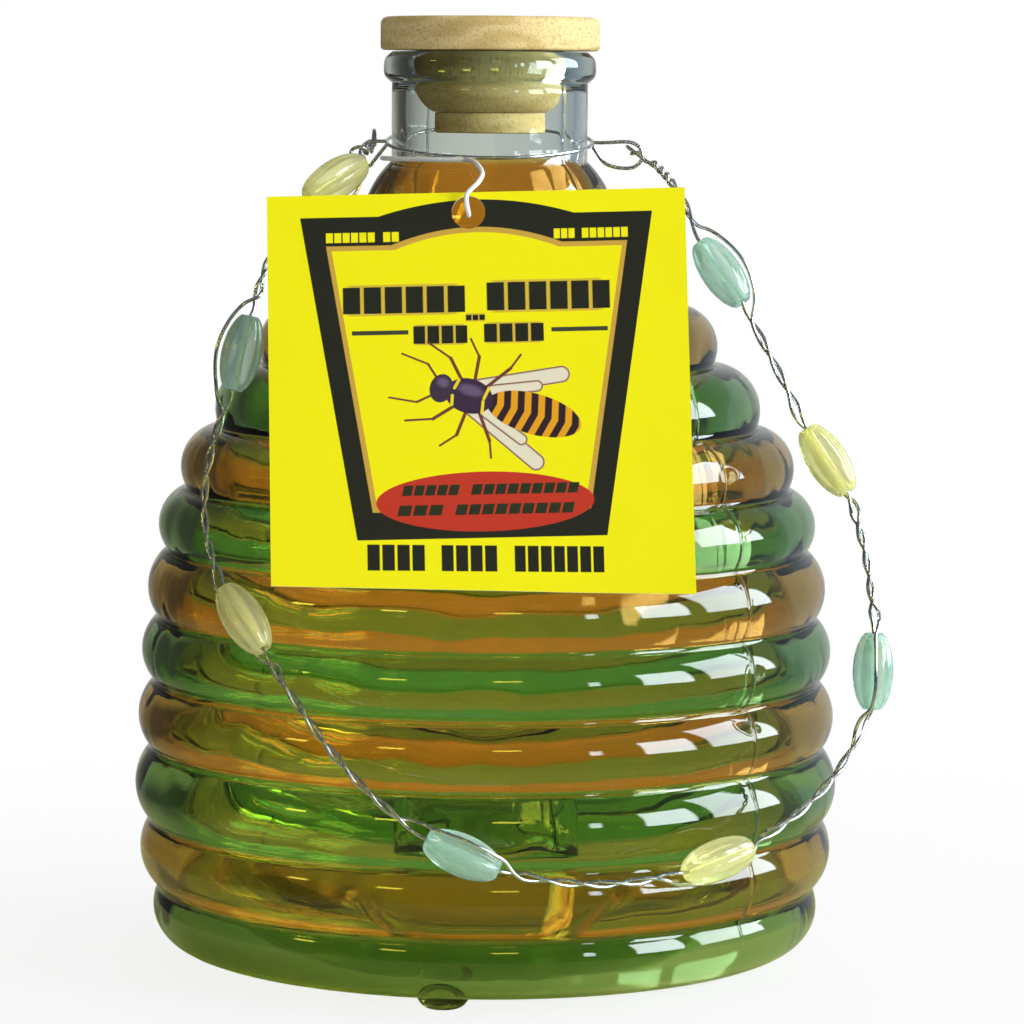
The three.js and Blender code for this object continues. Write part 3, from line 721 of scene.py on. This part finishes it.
# ---- jar
def jar_outlines():
    """(outside, inside, groove heights): the shell's two skins from the lip down, as (radius, height)."""
    corners = outer_corners("glass_jar")
    lip = [c for c in corners if c[1] > LIP_END]
    below = [c for c in corners if c[1] <= LIP_END]
    # a groove is a corner where the outline turns inwards
    grooves = [below[0]]
    for a, b, c in zip(below, below[1:], below[2:], strict=False):
        turn = (b[0] - a[0]) * (c[1] - b[1]) - (b[1] - a[1]) * (c[0] - b[0])
        if turn > 0.5:
            grooves.append(b)
    outside = [tuple(p) for p in spline(lip, 0.5)]
    outside += line(lip[-1], grooves[0], 8)
    inner = [(r - WALL, z) for r, z in grooves]
    inner[0] = (NECK_BORE_R, grooves[0][1])
    rings = []
    for i, (a, b) in enumerate(zip(grooves, grooves[1:], strict=False)):
        between = [c for c in below if b[1] < c[1] < a[1]]
        outside += circle_through(a, between[len(between) // 2], b, RING_STEPS)
        middle = circle_through(a, between[len(between) // 2], b, 2)[0]
        chord = math.hypot(b[0] - a[0], b[1] - a[1])
        rise = abs((middle[0] - a[0]) * (b[1] - a[1]) - (middle[1] - a[1]) * (b[0] - a[0])) / chord
        rings.append(risen_arc(inner[i], inner[i + 1], rise * INNER_RISE, RING_STEPS - 2))
    heel = [c for c in below if c[1] <= grooves[-1][1]]
    rounded = [c for c in heel if c[0] > BASE_FLAT_R + 3]
    outside += circle_through(rounded[0], rounded[len(rounded) // 2], rounded[-1], 14)
    base = rounded[-1][1]
    floor = base + FLOOR_T
    foot = (FUNNEL_FOOT_R, base + BASE_ARCH)
    outside += line(rounded[-1], (BASE_FLAT_R, base), 14)
    outside += line((BASE_FLAT_R, base), foot, 8)
    rim_out = (FUNNEL_THROAT_R, FUNNEL_TOP + FLOOR_T / 2 - 2.2)
    outside += risen_arc(foot, rim_out, FUNNEL_FLARE, 12)
    top = (FUNNEL_THROAT_R + FLOOR_T / 2, FUNNEL_TOP)
    rim_in = (FUNNEL_THROAT_R + FLOOR_T, FUNNEL_TOP - FLOOR_T / 2)
    outside += circle_through(rim_out, top, rim_in, 6)
    # the inside, from the funnel's rim outwards and up to the lip
    floor_start = (FUNNEL_FOOT_R + FLOOR_T, floor + BASE_ARCH * 0.5)
    inside = risen_arc(rim_in, floor_start, -FUNNEL_FLARE, 12) + line(floor_start, (BASE_FLAT_R, floor), 8)
    corner_in, corner_rise = INNER_CORNER
    corner = (inner[-1][0] - corner_in, floor)
    inside += line((BASE_FLAT_R, floor), corner, 4)
    inside += risen_arc(corner, inner[-1], -corner_rise, 8)
    up = []
    start = inner[0]
    for ring in rings:
        up += [start, *ring[:-1]]
        start = ring[-1]
    inside += list(reversed(up))
    lip_foot = (NECK_BORE_R, lip[-1][1])
    bore_foot = (LIP_BORE_R, lip[0][1] - LIP_BORE_DEPTH)
    bore_top = (LIP_BORE_R, lip[0][1] - MOUTH_EDGE)
    mouth = (LIP_BORE_R + MOUTH_EDGE, lip[0][1])
    inside += line(inner[0], lip_foot, 6) + line(lip_foot, bore_foot, 4) + line(bore_foot, bore_top, 2)
    inside += risen_arc(bore_top, mouth, 0.25, 3) + line(mouth, lip[0], 3)[:-1]
    return outside, inside, [z for _, z in grooves]


def wobble(angle, height, seed, length):
    """A smooth irregular field over the wall, about -1 to 1, with features about length across."""
    draw = np.random.default_rng(seed)
    total = 0.0
    for _ in range(10):
        around = round(TURN * 70 / length * draw.uniform(0.3, 1.2))
        up = TURN / length * draw.uniform(-1.2, 1.2)
        total = total + np.cos(around * angle + up * height + draw.uniform(0, TURN))
    return total / 4.5


def jar_angles():
    """Column angles: even, with more at the feet and across the mould seams."""
    angles = list(np.arange(JAR_COLUMNS) * TURN / JAR_COLUMNS)
    step = TURN / JAR_COLUMNS
    near = math.radians(7)
    halfway = [a + step / 2 for a in angles]
    angles += [a for a in halfway if any(abs(turn_between(foot, a)) < near for foot in FOOT_ANGLES)]
    for seam in SEAM_ANGLES:
        angles = [a for a in angles if abs(turn_between(seam, a)) > math.radians(0.9)]
        angles += [seam + math.radians(d) for d in (-0.8, -0.5, -0.3, -0.15, 0, 0.15, 0.3, 0.5, 0.8)]
    return np.sort(np.array(angles) % TURN)


def jar():
    outside, inside, grooves = jar_outlines()
    outline = np.array(outside + inside)
    skin = np.array([0] * len(outside) + [1] * len(inside))
    angles = jar_angles()
    radius, height = outline[:, 0][:, None], outline[:, 1][:, None]
    angle = angles[None, :]
    on_rings = np.clip((grooves[0] - height) / 12, 0, 1) * np.clip((height - grooves[-1]) / 8, 0, 1)
    inner = skin[:, None] * on_rings
    outer = (1 - skin)[:, None] * on_rings
    shift = inner * (0.16 * wobble(angle, height, 3, 30) + 0.04 * wobble(angle, height, 5, 13))
    shift = shift + outer * 0.03 * wobble(angle, height, 7, 34)
    for seam in SEAM_ANGLES:
        across = turn_between(seam, angle) * radius
        ragged = 1 + 0.35 * np.sin(height * 1.7) * np.sin(height * 0.61 + 1)
        above_heel = np.clip((height - grooves[-1] + 6) / 4, 0, 1) * np.clip((-15 - height) / 3, 0, 1)
        shift = shift + (1 - skin)[:, None] * above_heel * SEAM_H * ragged * np.exp(-((across / SEAM_W) ** 2))
    r = radius + shift
    z = np.broadcast_to(height, r.shape).copy()
    x, y = r * np.cos(angle), r * np.sin(angle)
    low = node_box("glass_jar")[0][2]
    base = outline[skin == 0][:, 1][outline[skin == 0][:, 0] > BASE_FLAT_R].min()
    for a in FOOT_ANGLES:
        away = np.hypot(x - FOOT_CIRCLE_R * math.cos(a), y - FOOT_CIRCLE_R * math.sin(a))
        share = np.clip((FOOT_R - away) / (FOOT_R - FOOT_PAD_R), 0, 1)
        share = np.sqrt(1 - (1 - share) ** 2)
        under = (skin == 0)[:, None] & (height < base + 4)
        z = np.where(under & (away < FOOT_R), z + (low - z) * share, z)
    points = np.stack([x, y, z], -1).reshape(-1, 3)
    faces = grid_faces(len(outline), len(angles), wrap_rows=True)
    inner_row = (skin == 1) & (outline[:, 1] < -7.5)
    face_material = np.repeat(inner_row.astype(int), len(angles))
    faces = [tuple(reversed(face)) for face in faces]
    new_object("jar_shell", points, faces, "jar", "jar_glass", [outer_glass(grooves), inner_glass(grooves)],
               "glass_jar", face_material)


# ---- stopper
def stopper():
    material = wood()
    low, high = node_box("stopper_cap")
    r, edge, foot_edge = high[0], CAP_EDGE, CAP_FOOT_EDGE
    top = high[2] - 0.02
    cap = [(0, high[2]), (r * 0.5, high[2]), (r - edge, top)]
    cap += risen_arc((r - edge, top), (r, high[2] - edge), 0.42, 8)
    cap += line((r, high[2] - edge), (r, low[2] + foot_edge), 4)
    cap += risen_arc((r, low[2] + foot_edge), (r - foot_edge, low[2]), 0.18, 5)
    cap += [(r * 0.6, low[2]), (0, low[2])]
    new_object("cap_turned", *turned(cap, 128), "stopper", "stopper_wood", [material], "stopper_cap")

    low, high = node_box("stopper_plug")
    points = node_points("stopper_plug")
    bottom_r = np.hypot(points[:, 0], points[:, 1])[points[:, 2] < low[2] + 0.05].max()
    r, straight = high[0], high[2] - PLUG_STRAIGHT
    plug = [(0, high[2]), (r - PLUG_EDGE, high[2]), (r, high[2] - PLUG_EDGE)]
    plug += line((r, high[2] - PLUG_EDGE), (r, straight), 4)
    plug += risen_arc((r, straight), (bottom_r, low[2]), PLUG_SWELL, 10) + [(0, low[2])]
    new_object("plug_turned", *turned(plug, 112), "stopper", "stopper_wood", [material], "stopper_plug")

    low, high = node_box("stopper_tip")
    r, edge, foot_edge = high[0], TIP_EDGE, TIP_FOOT_EDGE
    tip = [(0, high[2]), (r - edge, high[2])] + risen_arc((r - edge, high[2]), (r, high[2] - edge), 0.07, 3)
    tip += line((r, high[2] - edge), (r, low[2] + foot_edge), 4)
    tip += risen_arc((r, low[2] + foot_edge), (r - foot_edge, low[2]), 0.14, 4) + [(0, low[2])]
    new_object("tip_turned", *turned(tip, 96), "stopper", "stopper_wood", [material], "stopper_tip")


# ---- wires, beads and string
def neck_wire(material):
    """The ring round the neck with an eye on each side."""
    low, high = node_box("neck_wire")
    hinge = joint("handle_swing")[0][2]
    ring_r = (high[1] - low[1]) / 2 / math.cos(NECK_RING_TILT) - NECK_WIRE_R
    angles = np.arange(96) * TURN / 96
    ring = [[ring_r * math.cos(a), ring_r * math.sin(a) * math.cos(NECK_RING_TILT),
             hinge + ring_r * math.sin(a) * math.sin(NECK_RING_TILT)] for a in angles]
    parts = [tube(ring, NECK_WIRE_R, 10, closed=True)]
    for tip in (high[0] - NECK_WIRE_R, low[0] + NECK_WIRE_R):
        side = math.copysign(1, tip)
        bend = EYE_DROP / 2
        start = side * (ring_r + 0.1)
        middle = side * (ring_r + 2.4)
        path = [
            [start, 0, hinge], [middle, 0, hinge], [tip - side * bend, 0, hinge],
            [tip - side * 0.75, 0, hinge - 0.29 * EYE_DROP], [tip - side * 0.75, 0, hinge - 0.71 * EYE_DROP],
            [tip - side * bend, 0, hinge - EYE_DROP], [middle + side * 0.6, 0, hinge - 0.86 * EYE_DROP],
            [start, 0, hinge - 0.16 * EYE_DROP],
        ]
        parts.append(tube(spline(path, 0.4), NECK_WIRE_R, 10))
    new_object("neck_ring", *joined(*parts), "jar", "wire_steel", [material], "neck_wire")


def strands(material):
    for name in ("handle_wire_a", "handle_wire_b"):
        path = spline(centreline(name, 5), 0.45)
        new_object(name.replace("handle_wire", "twist_strand"), *tube(path, WIRE_R, 10), "handle",
                   "wire_steel", [material], name)


def bead(name, material, slot):
    """A fluted barrel bead with a bore, along its spin joint's axis."""
    at, axis = joint(name + "_spin")
    points = node_points(name) - at
    along = points @ axis
    half, fat = along.max(), np.linalg.norm(points - np.outer(along, axis), axis=1).max()
    steps, columns = 22, 96
    angles = np.arange(columns) * TURN / columns
    lobes = 1 - FLUTE_DEPTH * (1 - np.abs(np.cos(BEAD_FLUTES / 2 * angles)))
    rows = []
    for i in range(steps + 1):
        t = -math.cos(math.pi * i / steps)
        r = fat * math.sqrt(1 - BEAD_TAPER * t * t)
        fade = min(1.0, (1 - abs(t)) / BEAD_END)
        rows.append((t * half, r * (1 + (lobes - 1) * fade) * (1 - 0.06 * (1 - fade))))
    for t in (0.97, 0.9, *np.linspace(0.7, -0.7, 6), -0.9, -0.97):
        flare = 1.25 if abs(t) > 0.95 else 1.0
        rows.append((half * t, np.full(columns, BEAD_BORE_R * flare)))
    side = np.cross(axis, [0, 0, 1.0])
    side /= np.linalg.norm(side)
    other = np.cross(axis, side)
    ring = np.outer(np.cos(angles), side) + np.outer(np.sin(angles), other)
    points = np.vstack([at + axis * s + ring * r[:, None] for s, r in rows])
    faces = grid_faces(len(rows), columns, wrap_rows=True)
    new_object(name.replace("bead_", "fluted_bead_"), points, faces, name, slot, [material], name)


def beads():
    yellow = bead_plastic("bead_yellow_plastic", (0.97, 0.95, 0.50), (0.97, 0.96, 0.70))
    green = bead_plastic("bead_green_plastic", (0.66, 0.87, 0.74), (0.80, 0.91, 0.85))
    for i in range(1, 9):
        bead(f"bead_{i}", yellow if i % 2 else green, "bead_yellow" if i % 2 else "bead_green")


def strings(material):
    pieces = [("tag_string", "neck_string", "jar"), ("tag_string_drop", "hanging_string", "string_drop")]
    for node, name, body in pieces:
        path = spline(centreline(node, 6), 0.4)
        new_object(name, *tube(path, STRING_R, 12), body, "nylon_string", [material], node)


# ---- card tag
def card():
    """The tag: a thin card with a punched hole, curled a little towards its right and lower edges."""
    hole, axis = joint("tag_swing")
    right = -axis
    normal_sum = np.zeros(3)
    mesh = frame["nodes"]["hang_tag"].data
    for polygon in mesh.polygons:
        if polygon.normal.y < -0.8:
            normal_sum += np.array(polygon.normal) * polygon.area
    front = normal_sum / np.linalg.norm(normal_sum)
    front -= right * (front @ right)
    front /= np.linalg.norm(front)
    up = np.cross(front, right)
    local = node_points("hang_tag") - hole
    u, v = local @ right, local @ up
    left, right_edge, top = u.min(), u.max(), v.max()
    low_left = v[u < left + 2].min()
    low_right = v[u > right_edge - 2].min()

    corners = [(right_edge, top), (left, top), (left, low_left), (right_edge, low_right)]
    angles = sorted({math.atan2(y, x) % TURN for x, y in corners} |
                    {i * TURN / CARD_COLUMNS for i in range(CARD_COLUMNS)})

    def edge_at(a):
        """How far the card reaches from the hole in the direction a."""
        reach = []
        for (x1, y1), (x2, y2) in zip(corners, corners[1:] + corners[:1], strict=True):
            facing = math.cos(a) * (y2 - y1) - math.sin(a) * (x2 - x1)
            if facing > 1e-9:
                reach.append((x1 * (y2 - y1) - y1 * (x2 - x1)) / facing)
        return min(reach)

    columns, steps = len(angles), CARD_STEPS
    flat = []
    for i in range(steps + 1):
        share = (i / steps) ** 1.25
        for a in angles:
            r = CARD_HOLE_R + (edge_at(a) - CARD_HOLE_R) * share
            flat.append((r * math.cos(a), r * math.sin(a)))
    flat = np.array(flat)

    def curl(x, y):
        """How far the card stands forward of flat, towards the viewer."""
        to_right = np.clip((x - 18) / 26, 0, 1) ** 2
        down = np.clip((-y - 40) / 40, 0, 1) ** 2
        ripple = 0.12 * np.sin(x / 17 + 0.6) * np.sin(y / 23)
        return 0.9 * to_right * (0.4 + down) + 0.5 * down + 0.15 + ripple

    lift = curl(flat[:, 0], flat[:, 1])
    plane = hole + np.outer(flat[:, 0], right) + np.outer(flat[:, 1], up)
    points = np.vstack([plane + np.outer(lift + offset, front) for offset in (CARD_T / 2, -CARD_T / 2)])
    n = len(flat)
    front_faces = grid_faces(steps + 1, columns)
    back_faces = [tuple(i + n for i in reversed(face)) for face in front_faces]
    rims, last = [], steps * columns
    for k in range(columns):
        m = (k + 1) % columns
        rims.append((m, k, k + n, m + n))
        rims.append((last + k, last + m, last + m + n, last + k + n))
    faces = front_faces + back_faces + rims
    face_material = [0] * len(front_faces) + [1] * (len(back_faces) + len(rims))
    obj = new_object("card_tag", points, faces, "tag", "tag_card", [printed_card(), bare_card()],
                     "hang_tag", face_material)
    obj.data.set_sharp_from_angle(angle=math.radians(40))
    attribute = obj.data.attributes.new("card_mm", "FLOAT_VECTOR", "POINT")
    both = np.hstack([np.vstack([flat, flat]), np.zeros((2 * n, 1))])
    attribute.data.foreach_set("vector", both.ravel())


# ---- lure sachet
def sachet():
    """A small filled pouch with flat crimped ends, lying in the trough."""
    points = node_points("lure_packet")
    centre = (points.min(0) + points.max(0)) / 2
    heading = math.atan2(centre[1], centre[0]) + math.pi / 2
    along = np.array([math.cos(heading), math.sin(heading), 0])
    across = np.array([-math.sin(heading), math.cos(heading), 0])
    local = points - centre
    length, width = np.ptp(local @ along), np.ptp(local @ across)
    thick = np.ptp(points[:, 2])
    columns, rows = 56, 34
    s = np.linspace(-1, 1, columns)[:, None] * np.ones((1, rows))
    t = np.ones((columns, 1)) * np.linspace(-1, 1, rows)[None, :]
    pouch = 0.84  # share of the length between the crimped ends
    filled = np.clip((pouch - abs(s)) / pouch, 0, 1) ** 0.45 * np.clip(1 - abs(t) ** 2.4, 0, 1) ** 0.6
    crimp = np.where(abs(s) > pouch, 0.10 * np.sin(s * 190), 0)
    creases = 0.22 * np.sin(t * 9 + s * 2.2) * np.clip(1 - abs(s), 0, 1) ** 0.5 * filled
    waist = 1 - 0.05 * filled * (1 - abs(t))
    parts = []
    for sign in (1, -1):
        z = sign * (0.16 + filled * (thick / 2 - 0.3)) + crimp + creases * 0.7
        grid = centre + s[..., None] * along * (length / 2) + (t * waist)[..., None] * across * (width / 2)
        grid[..., 2] += z
        parts.append(grid.reshape(-1, 3))
    n = columns * rows
    top = grid_faces(columns, rows, wrap_columns=False)
    faces = top + [tuple(i + n for i in reversed(face)) for face in top]
    rim = [i * rows for i in range(columns)] + [(columns - 1) * rows + k for k in range(1, rows)]
    rim += [i * rows + rows - 1 for i in range(columns - 2, -1, -1)] + list(range(rows - 2, 0, -1))
    for a, b in zip(rim, rim[1:] + rim[:1], strict=True):
        faces.append((b, a, a + n, b + n))
    new_object("lure_sachet", np.vstack(parts), faces, "lure", "packet_film", [film()], "lure_packet")


# ---- stage, light and camera
DAYLIGHT = (0.86, 0.95, 1.0)
LAMPLIGHT = (1.0, 0.86, 0.10)
CAMERA_LENS = 150.8
CAMERA_SENSOR = 36
CAMERA_PITCH = math.radians(5.59)
CAMERA_ROLL = math.radians(0.4)
CAMERA_PLACE = (0.0053, -0.910, -0.0157)  # in metres


def floor():
    """A plain pale floor that melts into the white behind it."""
    low = node_box("glass_jar")[0][2]
    angles = [TURN * i / FLOOR_SIDES for i in range(FLOOR_SIDES)]
    points = [[0, 0, low]] + [[FLOOR_R * math.cos(a), FLOOR_R * math.sin(a), low] for a in angles]
    faces = [(0, i + 1, (i + 1) % FLOOR_SIDES + 1) for i in range(FLOOR_SIDES)]
    mesh = bpy.data.meshes.new("floor")
    mesh.from_pydata((np.array(points) * MM).tolist(), [], faces)
    obj = placed("floor", mesh)
    material, tree, shader, where = new_material("pale_floor")
    path = add(tree, "LightPath")
    through = Value(tree, path.outputs["Is Transmission Ray"])
    seen_in_glass = through.max(Value(tree, path.outputs["Is Glossy Ray"]))
    speckle = noise(tree, where, 0.02, 3.0)
    pale = mix_colour(tree, speckle.ramp(0.3, 0.7), (0.84, 0.84, 0.84), (0.88, 0.88, 0.88))
    colour = mix_colour(tree, seen_in_glass, pale, (0.52, 0.52, 0.25))
    set_inputs(tree, shader, Base_Color=colour, Roughness=0.8, Specular_IOR_Level=0.1)
    x, y, _ = parts_of(tree, where)
    away = (x * x + y * y).root()
    bright = away.ramp(80, 330, 0.84, 1.0) * Value(tree, path.outputs["Is Camera Ray"])
    surface = mix_shaders(tree, bright, shader.outputs[0], add(tree, "Emission").outputs[0])
    gone = away.ramp(110, 260) * seen_in_glass
    use_surface(tree, mix_shaders(tree, gone, surface, add(tree, "BsdfTransparent").outputs[0]))
    mesh.materials.append(material)


def surroundings():
    """White to the camera. Glass and metal see a dim studio with bright windows on the right."""
    world = bpy.data.worlds.new("studio")
    bpy.context.scene.world = world
    world.use_nodes = True
    tree = world.node_tree
    tree.nodes.clear()
    add(tree, "OutputWorld")
    x, y, z = parts_of(tree, add(tree, "TexCoord").outputs["Generated"])
    degrees = 180 / math.pi
    azimuth = x.math("ARCTAN2", -y) * degrees  # 0 is behind the camera, 90 is to the right
    elevation = z.math("ARCSINE") * degrees

    around = [
        (-180, (0.66, 0.67, 0.63)), (-171, (0.50, 0.50, 0.46)), (-160, (0.20, 0.20, 0.17)),
        (-146, (0.05, 0.05, 0.04)), (-85, (0.04, 0.04, 0.05)), (-40, (0.06, 0.06, 0.06)),
        (0, (0.07, 0.07, 0.06)), (45, (0.08, 0.10, 0.11)), (85, (0.12, 0.16, 0.20)),
        (120, (0.18, 0.24, 0.29)), (150, (0.36, 0.41, 0.44)), (180, (0.62, 0.63, 0.60)),
    ]
    stops = [((at + 180) / 360, colour) for at, colour in around]
    walls_colour = colour_ramp(tree, (azimuth + 180) / 360, stops, "B_SPLINE")
    room = mix_colour(tree, elevation.ramp(12, 60, 0.0, 0.8), walls_colour, (0.12, 0.15, 0.19))
    path = add(tree, "LightPath")
    glossy = Value(tree, path.outputs["Is Glossy Ray"])
    through = Value(tree, path.outputs["Is Transmission Ray"])
    # (azimuth from, to, elevation from, to, brightness)
    windows = [(53, 72, 2, 26, 17.0), (79, 111, 3, 38, 13.0), (34, 38, 6, 15, 14.0)]
    lamps = [(-70, -62, 20, 23, 15.0), (-36, -27, 20, 23, 15.0), (3, 12, 20, 23, 13.0)]

    def background(colour, strength=1.0):
        return add(tree, "Background", Color=colour, Strength=strength).outputs[0]

    def panes(openings):
        light = None
        for a0, a1, e0, e1, brightness in openings:
            pane = azimuth.band(a0, a1, 0.8) * elevation.band(e0, e1, 0.6) * brightness
            light = pane if light is None else light + pane
        return light

    daylight = background(DAYLIGHT, panes(windows) * (glossy * 0.55 + through * 0.1 + 0.45))
    lamplight = background(LAMPLIGHT, panes(lamps) * glossy.max(through))
    studio = add(tree, "AddShader", daylight, lamplight).outputs[0]
    studio = add(tree, "AddShader", studio, background(room)).outputs[0]
    use_surface(tree, mix_shaders(tree, path.outputs["Is Camera Ray"], studio, background((1.0, 1.0, 1.0))))


def softbox(name, place, target, size, power, colour=(1.0, 1.0, 1.0)):
    """An area light that lights cloth, card and wood but isn't mirrored in the glass."""
    data = bpy.data.lights.new(name, "AREA")
    data.shape = "RECTANGLE"
    data.size, data.size_y = size
    data.energy = power
    data.color = colour
    obj = placed(name, data)
    obj.location = place
    obj.rotation_euler = (Vector(target) - Vector(place)).to_track_quat("-Z", "Y").to_euler()
    obj.visible_camera = False
    obj.visible_glossy = False
    obj.visible_transmission = False


def camera():
    data = bpy.data.cameras.new("camera")
    data.lens = CAMERA_LENS
    data.sensor_width = CAMERA_SENSOR
    data.clip_start, data.clip_end = 0.05, 20
    obj = placed("camera", data)
    turn = Matrix.Rotation(math.pi / 2 - CAMERA_PITCH, 4, "X") @ Matrix.Rotation(CAMERA_ROLL, 4, "Z")
    obj.matrix_world = Matrix.Translation(CAMERA_PLACE) @ turn
    bpy.context.scene.camera = obj


# ---- assembly
jar()
stopper()
wire_material = steel()
neck_wire(wire_material)
strands(wire_material)
beads()
strings(nylon())
card()
sachet()

floor()
surroundings()
middle = (0, 0, -0.1)
softbox("front_fill", (0.2, -1.35, 0.35), middle, (1.2, 0.9), 4.8)
softbox("window_side", (1.3, -0.75, 0.25), middle, (0.5, 0.9), 13, (0.94, 0.98, 1.0))
softbox("top_fill", (0.1, 0.1, 1.5), middle, (1.6, 1.6), 10)
softbox("back_fill", (0.2, 1.3, 0.6), middle, (1.2, 0.8), 2)
camera()
bpy.context.scene.view_settings.view_transform = "Standard"
